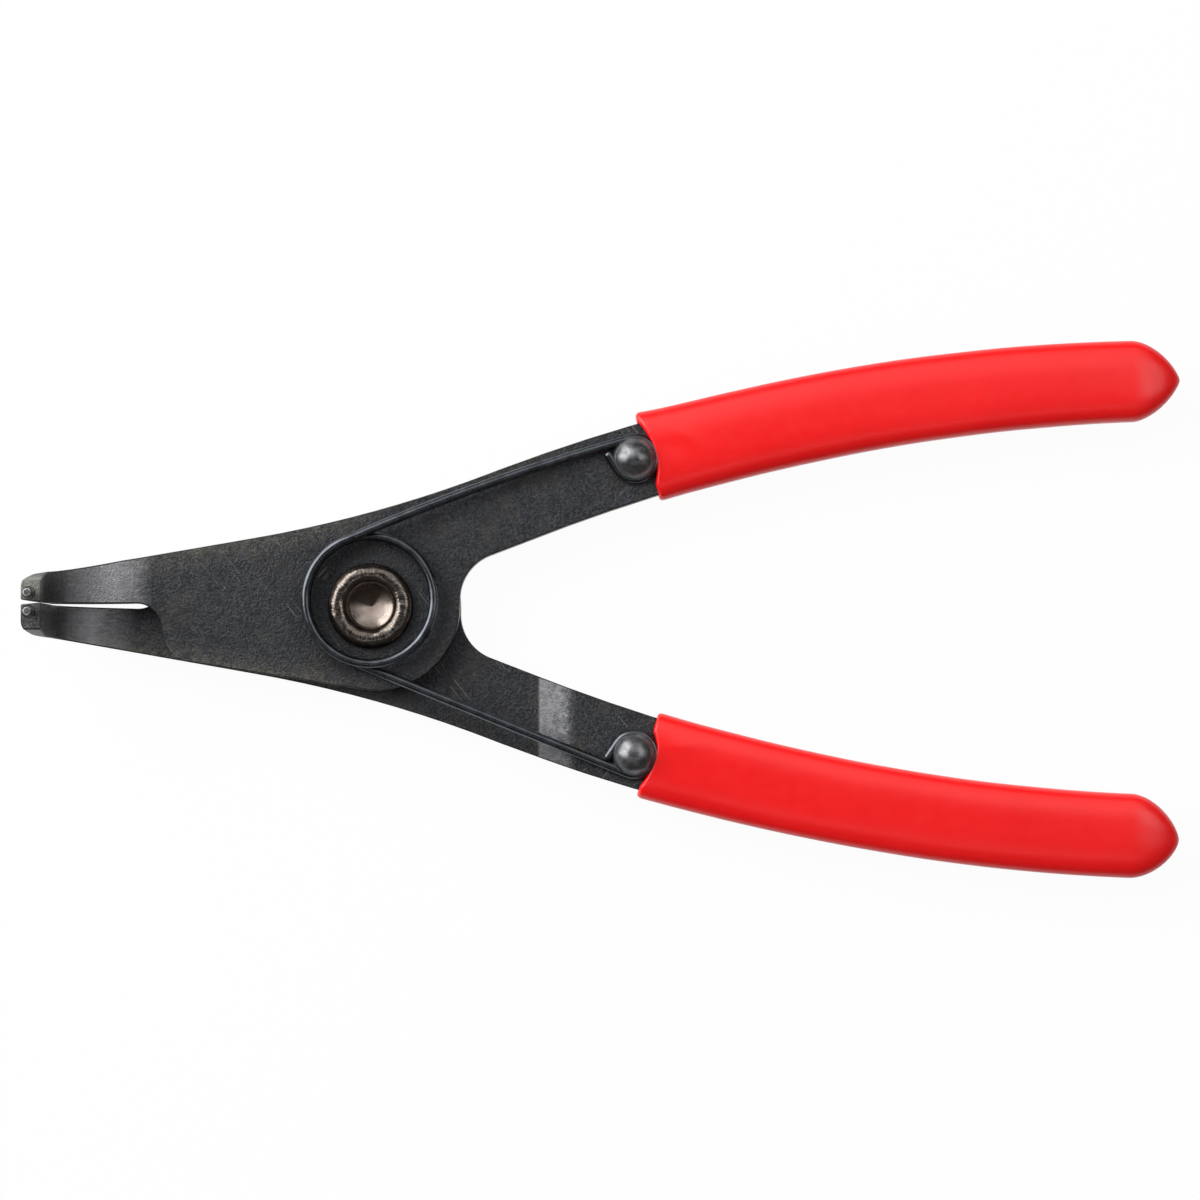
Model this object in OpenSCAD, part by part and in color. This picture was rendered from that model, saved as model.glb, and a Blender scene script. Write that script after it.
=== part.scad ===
// Circlip pliers for external rings, with fixed tips bent up at a right angle.
// Squeezing the handles spreads the tips, and the spring brings them together again.
// Millimetres. X runs from the tips to the handles, Y across the handles, Z up to the tips' side.
// The origin is on the pivot axis, on the flat land of the pivot rivet's back head.
// The upper half, at positive Y, is drawn once. In plan the lower half is its mirror image, apart from
// the outer edge of the upper jaw, which is ground back at its tip.

/* [Stamped halves] */
// Thickness of the steel plate
plate_t = 3; // [2.6:0.1:3.4]
// Running gap between the two halves at the pivot
plate_gap = 0.1; // [0.05:0.05:0.2]
// Radius of the boss round the pivot
boss_r = 13; // [12:0.2:14]
// Distance from the pivot to the crotch between the handles
crotch_x = 13.7; // [13.2:0.1:14.6]
// Radius in the crotch
crotch_r = 7.2; // [5:0.2:9]
// Angle of the plate's lower edge between the lobe and the boss
under_angle = 8.9; // [8:0.1:9.6]

/* [Jaws] */
// Distance from the pivot to the outer face of the upright tips
jaw_reach = 51.2; // [49:0.2:54]
// Angle of the jaw's outer edge
jaw_angle = 9.9; // [9:0.1:11]
// Half width across the closed jaws at the foot of the uprights
jaw_foot_w = 4.65; // [4.4:0.05:5.2]
// How far the upper jaw's outer edge is ground back at the foot of its upright
upper_grind = 0.6; // [0:0.05:0.7]
// Length of the upper jaw's ground edge
grind_len = 13; // [10:0.5:14]
// Half width across the closed jaws at the upper end face
upper_end_w = 3.3; // [3.1:0.05:4.2]
// Half width across the closed jaws at the lower end face
lower_end_w = 4.1; // [3.8:0.05:4.35]
// Half gap where the closed jaws come nearest
meet_gap = 0.06; // [0.05:0.01:0.1]
// Half gap at the outer edge of the end faces
tip_gap = 0.35; // [0.2:0.05:0.5]
// Half gap at the root of the slot between the jaws
slot_gap = 0.45; // [0.3:0.05:0.6]
// Distance from the pivot to the end of the slot
slot_x = 33; // [31:0.1:34]
// Radius at the end of the slot
slot_r = 4; // [2.5:0.1:4.5]
// Depth of the lobe that each half lays over the other jaw
lobe_y = 8.15; // [7.5:0.05:8.3]
// How far the lobe's front edge leans back from the slot to its corner
lobe_lean = 1.8; // [0:0.1:2.5]
// Radius of the lobe's corner
lobe_r = 4; // [3:0.2:5]
// Height of the end faces above the upper plate
tip_rise = 16; // [15.5:0.5:20]
// Inside radius of the upper jaw's bend
upper_bend_r = 14; // [10:0.5:14.5]
// Inside radius of the lower jaw's bend
lower_bend_r = 8; // [5:0.5:9]
// Radius of the outer corner of the uprights
tip_round = 2.2; // [1:0.1:2.5]

/* [Handles] */
// Distance along X from the pivot to the start of the bowed arm
neck_x = 22; // [21:0.2:24]
// Distance across from the pivot to the start of the bowed arm
neck_y = 15.6; // [15.1:0.1:16]
// Distance across the handles, between the middles of the arms' ends
handle_spread = 69.8; // [68:0.2:72]
// Radius that the arm is bowed to
arm_r = 290; // [260:5:330]
// Length of the steel arm along its bow
arm_len = 97.4; // [85:0.2:110]
// Width of the arm where it starts
neck_w = 11.8; // [11:0.1:12.4]
// Width of the arm at its end
arm_end_w = 10.2; // [9:0.1:11]
// Corner radius at the end of the arm
arm_corner = 3; // [2:0.5:4]
// Radius that joins the jaw's outer edge to the arm
blend_r = 195; // [120:5:200]
// Distance from the pivot to the joggle in the lower handle
jog_x = 26.9; // [24:0.1:28]
// Length of the joggle
jog_len = 4.5; // [4.3:0.1:6]
// Inside radius of the joggle's two bends
jog_r = 1.5; // [0.8:0.1:2]

/* [Pivot rivet] */
// Radius of the shank
shank_r = 4.75; // [4.2:0.05:5]
// Radial clearance of the upper half on the shank
pivot_fit = 0.05; // [0.02:0.01:0.1]
// Radius of the factory head on the back
head_r = 6.6; // [6:0.1:8]
// Height of the factory head
head_h = 1.6; // [1.2:0.1:2.2]
// Thickness of the factory head at its rim
head_rim = 0.5; // [0.3:0.1:0.8]
// Radius of the flat land on the factory head
land_r = 3.4; // [2.5:0.1:4.5]
// Outer radius of the rolled lip
lip_r = 6.6; // [6:0.1:7]
// Height of the rolled lip
lip_h = 1.9; // [1.6:0.1:2.4]
// Radius of the drilled hollow
hollow_r = 3.46; // [3:0.02:3.6]
// Depth of the hollow's straight wall below the top of the lip
hollow_depth = 2.8; // [2.4:0.1:6]
// Point angle of the hollow's bottom
drill_angle = 118; // [90:1:140]
// Axial play between the lip and the upper half
end_play = 0.05; // [0.02:0.01:0.1]

/* [Return spring] */
// Diameter of the wire
wire_d = 1.4; // [1.1:0.05:1.5]
// Mean radius of the coil round the pivot
coil_r = 9.8; // [9:0.1:10.5]
// Shift of the coil from the pivot towards the upper handle
coil_shift = 0.9; // [0:0.1:1.5]
// Outward bow of the upper leg
leg_bow = 0.8; // [0:0.1:1]
// Rise of the coil in one turn
coil_pitch = 1.65; // [1.6:0.05:2.2]
// Mean radius of the eye at each end
eye_r = 3.15; // [3:0.05:3.6]
// Angle that each eye turns through
eye_turn = 258; // [200:2:260]
// Length of the straight tail after each eye
tail_len = 2.2; // [1:0.1:2.4]
// Clearance of the wire from what it lies on or passes round
wire_fit = 0.12; // [0.05:0.01:0.2]
// Room between each eye and the grip's front edge
eye_room = 0.8; // [0.7:0.05:1.2]

/* [Spring rivets] */
// Place of each rivet along the arm
seat_s = 19.9; // [16:0.1:24]
// Shift of each rivet from the middle of the arm to its outer side
seat_shift = 0.6; // [0:0.1:1.5]
// Radius of the domed head
dome_r = 3.1; // [2.9:0.05:3.6]
// Height of the domed head above its rim
dome_h = 1.6; // [1.2:0.1:2.2]
// Thickness of the domed head's rim
dome_rim = 0.3; // [0.2:0.05:0.5]
// Radius of the shank in the plate
rivet_r = 1.6; // [1.2:0.05:2]
// Radius of the peened tail on the back
tail_r = 2.5; // [2.2:0.1:3]
// Height of the peened tail
tail_h = 0.7; // [0.5:0.1:1]

/* [Grips] */
// Thickness of the vinyl on the arm's edges
coat = 1.15; // [0.9:0.05:1.6]
// Thickness of the vinyl on the arm's flats
coat_flat = 1.65; // [1.2:0.05:2.2]
// Distance along the arm from the rivet to the sides of the grip's front edge
grip_front = 2; // [1:0.1:4]
// Length of vinyl past the end of the arm
grip_tail = 7.6; // [6:0.1:9]
// Length of the round end
cap_len = 7.5; // [6:0.1:9]
// Fullness of the upper grip's drip end, where 0.5 is round and 1 is pointed
upper_drip = 0.88; // [0.5:0.02:1]
// Fullness of the lower grip's drip end, where 0.5 is round and 1 is pointed
lower_drip = 0.72; // [0.5:0.02:1]
// Length over which the front lip grows to its full thickness
lip_len = 1.3; // [0.8:0.1:2]
// Clearance between the vinyl and the arm
grip_fit = 0.05; // [0.03:0.01:0.08]
// Squareness of the grip's section, where 2 is an ellipse
grip_square = 3.2; // [2.6:0.1:5]

/* [Tip pins] */
// Diameter of the pins
pin_d = 1.2; // [0.9:0.05:1.6]
// How much larger the pins' radius is in the jaws
pin_step = 0.2; // [0.1:0.05:0.25]
// Length of the pins above the end faces
pin_len = 2.1; // [1.5:0.1:3]
// Depth of the pins in the jaws
pin_seat = 3; // [2:0.1:5]
// Distance of each pin from the line between the jaws
pin_y = 1.4; // [1.25:0.05:1.8]
// Distance of each pin from the outer face of its upright
pin_inset = 1.25; // [1.1:0.05:1.9]
// Chamfer on the pins
pin_chamfer = 0.15; // [0.05:0.05:0.25]

/* [Hidden] */
$fn = 96;

steel = "#33363b";
rivet_brown = "#4b423a";
wire_black = "#1b1c1e";
bare_steel = "#8e9296";
vinyl_red = "#e21d25";

// Largest angle and length of one step along a rounded outline
step_angle = 6;
step_len = 4;
// Steps along the arm, the grip's section and the wire's section
arm_steps = 14;
grip_sides = 24;
wire_sides = 12;
wire_step = 12;
leg_steps = 6;
cap_steps = 8;
lip_steps = 4;
// How far cutting shapes run past what they cut
past = 1;
// Share of an edge that a fillet may take up
fillet_share = 0.75;

// Levels of the two halves: both handles lie at the upper one
z_low = head_h;
z_up = z_low + plate_t + plate_gap;
z_top = z_up + plate_t;
z_mid = z_up + plate_t / 2;
z_end = z_top + tip_rise;
z_wire = z_top + wire_fit + wire_d / 2;
neck_h = wire_d + 2 * wire_fit;
// Angle of the arm where it starts, for the handles' spread
arm_turn = arm_len / arm_r * 180 / PI;
arm_chord = 2 * arm_r * sin(arm_turn / 2);
neck_angle = asin((handle_spread / 2 - neck_y) / arm_chord) + arm_turn / 2;
arm_end_x = arm_point(arm_len).x + arm_end_w;

function unit(v) = v / norm(v);
function along(a) = [cos(a), sin(a)];
function left(a) = [-sin(a), cos(a)];
function heading(p, q) = atan2(q.y - p.y, q.x - p.x);
function flat(p) = [p.x, p.y];

// The point where a line through p at angle a crosses a line through q at angle b
function crossing(p, a, q, b) =
    p + along(a) * cross(q - p, along(b)) / cross(along(a), along(b));

// Outlines are lists of [x, y, corner radius]
function share(p) = p.z > 0 ? fillet_share : 1;
function fillet(before, at, after) =
    let (
        to_before = flat(before) - flat(at),
        to_after = flat(after) - flat(at),
        u = unit(to_before),
        v = unit(to_after),
        half = acos(u * v) / 2,
        room = min(share(before) * norm(to_before), share(after) * norm(to_after)),
        reach = min(at.z / tan(half), room),
        r = reach * tan(half),
        middle = flat(at) + unit(u + v) * reach / cos(half),
        start = heading(middle, flat(at) + u * reach),
        sweep = 180 - 2 * half,
        way = cross(u, v) < 0 ? 1 : -1,
        n = ceil(max(sweep / step_angle, r * sweep * PI / 180 / step_len))
    )
    [for (i = [0 : n]) middle + r * along(start + way * sweep * i / n)];
function rounded(path) =
    let (n = len(path))
    [for (i = [0 : n - 1])
        each path[i].z > 0 ? fillet(path[(i + n - 1) % n], path[i], path[(i + 1) % n])
                           : [flat(path[i])]];

// The middle line of the upper arm, bowed to arm_r, at a length s along it
function arm_heading(s) = neck_angle - s / arm_r * 180 / PI;
function arm_point(s) =
    [neck_x, neck_y] + arm_r * (left(arm_heading(s)) - left(neck_angle));
function arm_w(s) = neck_w + (arm_end_w - neck_w) * min(s, arm_len) / arm_len;
function arm_side(s, u) = arm_point(s) + u * left(arm_heading(s));
function arm_edge(s, side, r = 0) = [each arm_side(s, side * arm_w(s) / 2), r];
function seat() = arm_side(seat_s, seat_shift);

// Plan outline of a half, from the jaw's end round the boss and the handle, with the jaw ground back
function half_outline(grind) =
    let (
        lobe_x = -slot_x + lobe_lean,
        boss_y = -lobe_y - (crotch_x - lobe_x) * tan(under_angle),
        crotch = crossing([crotch_x, 0], 90, flat(arm_edge(0, -1)), neck_angle),
        jaw_corner = crossing([-jaw_reach, jaw_foot_w], jaw_angle, flat(arm_edge(0, 1)), neck_angle)
    )
    concat(
        [
            [-jaw_reach, tip_gap, 0],
            [-jaw_reach + plate_t, meet_gap, 0],
            [-slot_x, slot_gap, slot_r],
            [lobe_x, -lobe_y, lobe_r],
            [crotch_x, boss_y, boss_r],
            [each crotch, crotch_r]
        ],
        [for (i = [0 : arm_steps - 1]) arm_edge(arm_len * i / arm_steps, -1)],
        [arm_edge(arm_len, -1, arm_corner), arm_edge(arm_len, 1, arm_corner)],
        [for (i = [arm_steps - 1 : -1 : 0]) arm_edge(arm_len * i / arm_steps, 1)],
        [
            [each jaw_corner, blend_r],
            [grind_len - jaw_reach, jaw_foot_w + grind_len * tan(jaw_angle), 0],
            [-jaw_reach, jaw_foot_w - grind, tip_round]
        ]
    );

// Section of a bent sheet to the left of a path of [x, z, inside bend radius]
function sheet(path) =
    let (
        n = len(path),
        heads = [for (i = [0 : n - 2]) heading(path[i], path[i + 1])],
        before = [for (i = [0 : n - 1]) heads[max(i - 1, 0)]],
        after = [for (i = [0 : n - 1]) heads[min(i, n - 2)]],
        turn = after - before
    )
    concat(
        [for (i = [0 : n - 1])
            [each flat(path[i]), path[i].z > 0 && turn[i] > 0 ? path[i].z + plate_t : path[i].z]],
        [for (i = [n - 1 : -1 : 0])
            [each flat(path[i]) + left((before[i] + after[i]) / 2) * plate_t / cos(turn[i] / 2),
             path[i].z > 0 && turn[i] < 0 ? path[i].z + plate_t : path[i].z]]
    );

// A stamped half: its plan outline, bent to a side profile, with the upright narrowed to its end
module half_plate(profile, end_w, grind = 0) {
    shoulder_z = z_top + end_play;
    shoulder_w = jaw_foot_w + (plate_t + upper_bend_r) * tan(jaw_angle) + end_play;
    narrowing = (shoulder_w - end_w) / (z_end - shoulder_z);
    wide = 2 * arm_end_x;
    intersection() {
        linear_extrude(height = z_end + past) polygon(rounded(half_outline(grind)));
        rotate([90, 0, 0]) linear_extrude(height = wide, center = true) polygon(rounded(sheet(profile)));
        rotate([90, 0, 90]) linear_extrude(height = 2 * wide, center = true) polygon([
            [-wide, -past],
            [wide, -past],
            [wide, shoulder_z],
            [shoulder_w, shoulder_z],
            [end_w - narrowing * 2 * past, z_end + 2 * past],
            [-wide, z_end + 2 * past]
        ]);
    }
}

// Holes of one half for the pivot, its spring rivet and its tip pin
module half_holes(pivot_bore_r) {
    cylinder(r = pivot_bore_r, h = z_end);
    translate([each seat(), 0]) cylinder(r = rivet_r, h = z_end);
    translate([each pin_place(), z_end - pin_seat]) cylinder(r = pin_d / 2 + pin_step, h = pin_seat + past);
}

module upper_plate() {
    color(steel) difference() {
        half_plate([
            [-jaw_reach, z_end, 0],
            [-jaw_reach, z_up, upper_bend_r],
            [arm_end_x, z_up, 0]
        ], upper_end_w, upper_grind);
        half_holes(shank_r + pivot_fit);
    }
}

module lower_plate() {
    color(steel) mirror([0, 1, 0]) difference() {
        half_plate([
            [-jaw_reach, z_end, 0],
            [-jaw_reach, z_low, lower_bend_r],
            [jog_x, z_low, jog_r],
            [jog_x + jog_len, z_up, jog_r],
            [arm_end_x, z_up, 0]
        ], lower_end_w);
        half_holes(shank_r);
    }
}

// Half section of a round-topped head that stands on y = 0
module cap_section(r, h) {
    ball = (r * r + h * h) / (2 * h);
    intersection() {
        translate([0, h - ball]) circle(r = ball);
        square([r, h]);
    }
}

// Semi-tubular rivet: truss head with a flat land below, rolled lip and drilled hollow above
module pivot_rivet() {
    lip_z = z_top + end_play;
    lip_top = z_top + lip_h;
    ring_r = (lip_r - hollow_r) / 2;
    dome_rise = head_h - head_rim;
    ball_z = (head_r * head_r - land_r * land_r + dome_rise * dome_rise) / (2 * dome_rise);
    ball_r = norm([land_r, ball_z]);
    hollow_z = lip_top - hollow_depth;
    color(rivet_brown) rotate_extrude() difference() {
        union() {
            intersection() {
                square([head_r, head_h]);
                translate([0, ball_z]) circle(r = ball_r);
            }
            square([shank_r, lip_top - ring_r]);
            intersection() {
                translate([hollow_r + ring_r, lip_top - ring_r]) circle(r = ring_r);
                translate([0, lip_z]) square([lip_r, lip_h]);
            }
            translate([0, lip_z]) square([hollow_r + ring_r, lip_top - ring_r - lip_z]);
        }
        polygon([
            [0, hollow_z - hollow_r / tan(drill_angle / 2)],
            [hollow_r, hollow_z],
            [hollow_r, lip_top + past],
            [0, lip_top + past]
        ]);
    }
}

// Shoulder rivet: dome over the wire's eye, shoulder on the plate and peened tail behind
module spring_rivet() {
    shoulder_r = eye_r - wire_d / 2 - wire_fit;
    color(steel) translate([each seat(), 0]) rotate_extrude() {
        translate([0, z_up]) mirror([0, 1]) cap_section(tail_r, tail_h);
        translate([0, z_up]) square([rivet_r, plate_t]);
        translate([0, z_top]) square([shoulder_r, neck_h]);
        translate([0, z_top + neck_h]) square([dome_r, dome_rim]);
        translate([0, z_top + neck_h + dome_rim]) cap_section(dome_r, dome_h);
    }
}

module upper_spring_rivet() {
    spring_rivet();
}

module lower_spring_rivet() {
    mirror([0, 1, 0]) spring_rivet();
}

// Faces between two rings of n points that start at a and b, and fans from a ring to one point
function band(a, b, n) = [for (i = [0 : n - 1]) [a + i, b + i, b + (i + 1) % n, a + (i + 1) % n]];
function fan(a, point, n) = [for (i = [0 : n - 1]) [a + i, point, a + (i + 1) % n]];
function reversed(face) = [for (i = [len(face) - 1 : -1 : 0]) face[i]];

// Angle on a coil about centre where a leg leaves it, so that leg, coil and eye are tangent
function leg_angle(centre) =
    heading(centre, seat()) + acos((coil_r - eye_r) / norm(seat() - centre));

// One end of the wire in plan, from its tail round the eye and along the leg to a coil about centre,
// as [x, y, share of the leg that is behind]
function spring_end(centre, bow) =
    let (
        a = leg_angle(centre),
        steps = ceil(eye_turn / wire_step),
        eye = [for (i = [steps : -1 : 0]) seat() + eye_r * along(a - eye_turn * i / steps)],
        tail = eye[0] + tail_len * along(a - eye_turn - 90),
        leave = seat() + eye_r * along(a),
        join = centre + coil_r * along(a)
    )
    concat(
        [for (p = concat([tail], eye)) [each p, 0]],
        [for (i = [1 : leg_steps - 1])
            let (f = i / leg_steps)
            [each leave + (join - leave) * f + along(a) * bow * 4 * f * (1 - f), f]]
    );

module return_spring() {
    middle = [0, coil_shift];
    upper_end = spring_end(middle, leg_bow);
    lower_end = spring_end(-middle, 0);
    first = leg_angle(middle);
    sweep = 720 - leg_angle(-middle) - first;
    rise = coil_pitch * sweep / 360;
    turns = ceil(sweep / wire_step);
    path = concat(
        [for (p = upper_end) [p.x, p.y, z_wire + rise * p.z]],
        [for (i = [0 : turns])
            [each middle + coil_r * along(first + sweep * i / turns), z_wire + rise * (1 - i / turns)]],
        [for (i = [len(lower_end) - 1 : -1 : 0]) [lower_end[i].x, -lower_end[i].y, z_wire]]
    );
    n = len(path);
    points = [for (i = [0 : n - 1])
        let (
            way = unit(path[min(i + 1, n - 1)] - path[max(i - 1, 0)]),
            side = unit(cross([0, 0, 1], way)),
            up = cross(way, side)
        )
        each [for (j = [0 : wire_sides - 1])
            let (a = 360 * j / wire_sides)
            path[i] + wire_d / 2 * (side * cos(a) + up * sin(a))]];
    faces = concat(
        [for (i = [0 : n - 2]) each band(i * wire_sides, (i + 1) * wire_sides, wire_sides)],
        [[for (j = [0 : wire_sides - 1]) j]],
        [[for (j = [wire_sides - 1 : -1 : 0]) (n - 1) * wire_sides + j]]
    );
    color(wire_black) polyhedron(points = points, faces = faces);
}

// Front edge of the vinyl, cut back in an arc to clear the spring's eye
function grip_start(u) =
    let (clear = eye_r + wire_d / 2 + eye_room, off = u - seat_shift)
    seat_s + max(grip_front, abs(off) < clear ? sqrt(clear * clear - off * off) : 0);
function squared(c) = sign(c) * pow(abs(c), 2 / grip_square);
function grip_end() = arm_len + grip_tail;
function closing(s, drip) =
    let (x = max(0, s - grip_end() + cap_len) / cap_len)
    pow(max(0, 1 - x * x), drip);
function lip_growth(s, start) =
    let (x = max(0, 1 - (s - start) / lip_len))
    sqrt(1 - x * x);

// A point of the grip at a length s along the arm, u across it and v above its middle
function grip_point(s, u, v) = [each arm_side(s, u), z_mid + v];
function grip_skin(s, a, start, drip) =
    let (grown = lip_growth(s, start), end = closing(s, drip))
    grip_point(s, end * (arm_w(s) / 2 + grip_fit + (coat - grip_fit) * (1 + grown) / 2) * squared(cos(a)),
               end * (plate_t / 2 + grip_fit + (coat_flat - grip_fit) * (1 + grown) / 2) * squared(sin(a)));
function grip_pocket(s, a) =
    grip_point(s, (arm_w(s) / 2 + grip_fit) * max(-1, min(1, sqrt(2) * cos(a))),
               (plate_t / 2 + grip_fit) * max(-1, min(1, sqrt(2) * sin(a))));

module grip(drip) {
    angles = [for (j = [0 : grip_sides - 1]) 360 * j / grip_sides];
    starts = [for (a = angles) grip_start((neck_w / 2 + coat) * squared(cos(a)))];
    pocket_end = arm_len + grip_fit;
    cap_start = grip_end() - cap_len;
    // Places of the rings after the front edge, then those round the end
    body = [for (i = [1 : arm_steps]) i / arm_steps];
    ends = [for (i = [1 : cap_steps - 1]) cap_start + cap_len * sin(90 * i / cap_steps)];
    skin = concat(
        [for (i = [0 : lip_steps]) for (j = [0 : grip_sides - 1])
            grip_skin(starts[j] + lip_len * i / lip_steps, angles[j], starts[j], drip)],
        [for (f = body) for (j = [0 : grip_sides - 1])
            let (full = starts[j] + lip_len)
            grip_skin(full + (cap_start - full) * f, angles[j], starts[j], drip)],
        [for (s = ends) for (j = [0 : grip_sides - 1]) grip_skin(s, angles[j], starts[j], drip)]
    );
    pocket = [for (f = concat([0], body)) for (j = [0 : grip_sides - 1])
        grip_pocket(starts[j] + (pocket_end - starts[j]) * f, angles[j])];
    skin_rings = len(skin) / grip_sides;
    pocket_rings = len(pocket) / grip_sides;
    tip = len(skin);
    first = tip + 1;
    floor_point = first + len(pocket);
    faces = concat(
        [for (i = [0 : skin_rings - 2]) each band(i * grip_sides, (i + 1) * grip_sides, grip_sides)],
        fan(tip - grip_sides, tip, grip_sides),
        band(first, 0, grip_sides),
        [for (i = [0 : pocket_rings - 2])
            each band(first + (i + 1) * grip_sides, first + i * grip_sides, grip_sides)],
        [for (face = fan(floor_point - grip_sides, floor_point, grip_sides)) reversed(face)]
    );
    points = concat(skin, [grip_point(grip_end(), 0, 0)], pocket, [grip_point(pocket_end, 0, 0)]);
    color(vinyl_red) polyhedron(points = points, faces = faces);
}

module upper_grip() {
    grip(upper_drip);
}

module lower_grip() {
    mirror([0, 1, 0]) grip(lower_drip);
}

function pin_place() = [pin_inset - jaw_reach, pin_y];

// Stepped pin pressed into the end of a jaw, with its free end chamfered
module tip_pin() {
    pin_r = pin_d / 2;
    pin_top = z_end + pin_len;
    color(bare_steel) translate([each pin_place(), 0]) rotate_extrude() polygon([
        [0, z_end - pin_seat],
        [pin_r + pin_step, z_end - pin_seat],
        [pin_r + pin_step, z_end],
        [pin_r, z_end],
        [pin_r, pin_top - pin_chamfer],
        [pin_r - pin_chamfer, pin_top],
        [0, pin_top]
    ]);
}

module upper_tip_pin() {
    tip_pin();
}

module lower_tip_pin() {
    mirror([0, 1, 0]) tip_pin();
}

upper_plate();
lower_plate();
pivot_rivet();
return_spring();
upper_spring_rivet();
lower_spring_rivet();
upper_grip();
lower_grip();
upper_tip_pin();
lower_tip_pin();
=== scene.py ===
"""Looks of the circlip pliers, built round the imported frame.

The stamped halves and the tip pins keep their solids, and the halves get rounded and worn edges. The
rivets, the return spring and the dipped vinyl grips are modelled here and stand for their solids.
"""

import math

import bpy
import numpy as np
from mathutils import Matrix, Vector, noise


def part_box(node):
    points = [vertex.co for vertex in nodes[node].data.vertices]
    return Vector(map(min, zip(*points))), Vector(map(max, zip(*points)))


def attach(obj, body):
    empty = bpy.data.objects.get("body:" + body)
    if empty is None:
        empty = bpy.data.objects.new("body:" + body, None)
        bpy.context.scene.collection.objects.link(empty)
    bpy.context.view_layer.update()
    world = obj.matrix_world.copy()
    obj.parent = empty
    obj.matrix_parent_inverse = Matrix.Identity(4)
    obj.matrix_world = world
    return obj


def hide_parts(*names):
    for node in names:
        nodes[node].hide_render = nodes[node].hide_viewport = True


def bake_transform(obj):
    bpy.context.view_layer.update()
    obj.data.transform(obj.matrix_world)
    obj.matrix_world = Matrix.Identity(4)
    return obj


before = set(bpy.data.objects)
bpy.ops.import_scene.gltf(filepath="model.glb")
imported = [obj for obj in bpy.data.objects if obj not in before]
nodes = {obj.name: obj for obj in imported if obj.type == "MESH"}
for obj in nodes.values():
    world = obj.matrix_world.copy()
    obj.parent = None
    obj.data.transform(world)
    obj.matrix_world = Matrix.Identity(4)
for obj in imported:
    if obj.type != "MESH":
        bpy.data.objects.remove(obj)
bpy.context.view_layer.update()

MM = 0.001

# Sizes in millimetres that the solids have too
PLATE_T = 3.0
NECK_X, NECK_Y = 22.0, 15.6
HANDLE_SPREAD = 69.8
ARM_R = 290.0
ARM_LEN = 97.4
NECK_W, ARM_END_W = 11.8, 10.2
LIP_R, HOLLOW_R = 6.6, 3.46
HOLLOW_DEPTH = 2.8
DRILL_ANGLE = math.radians(118)
SHANK_R = 4.75
END_PLAY = 0.05
HEAD_H, HEAD_RIM, LAND_R = 1.6, 0.5, 3.4
WIRE_R = 0.7
COIL_R, COIL_SHIFT, COIL_PITCH = 9.8, 0.9, 1.65
EYE_R, EYE_TURN = 3.15, math.radians(258)
LEG_BOW = 0.8
WIRE_FIT = 0.12
DOME_RIM = 0.3
TAIL_R, TAIL_H = 2.5, 0.7
COAT, COAT_FLAT = 1.15, 1.65
GRIP_FIT = 0.05
GRIP_TAIL, CAP_LEN = 7.6, 7.5

# Levels and places in millimetres that come from the frame
PIVOT_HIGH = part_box("pivot_rivet")[1] / MM
DOME_LOW, DOME_HIGH = (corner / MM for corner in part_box("upper_spring_rivet"))
Z_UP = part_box("upper_plate")[0].z / MM
Z_TOP = Z_UP + PLATE_T
Z_MID = Z_UP + PLATE_T / 2
Z_WIRE = Z_TOP + WIRE_FIT + WIRE_R
Z_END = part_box("upper_plate")[1].z / MM
SEAT = ((DOME_LOW + DOME_HIGH) / 2).xy
DOME_R = (DOME_HIGH.x - DOME_LOW.x) / 2
HOLLOW_FLOOR = PIVOT_HIGH.z - HOLLOW_DEPTH
HOLLOW_POINT = HOLLOW_FLOOR - HOLLOW_R / math.tan(DRILL_ANGLE / 2)


# Materials

# Noise size that leaves the stretch as features per metre, or per turn
METRE = 1000


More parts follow.
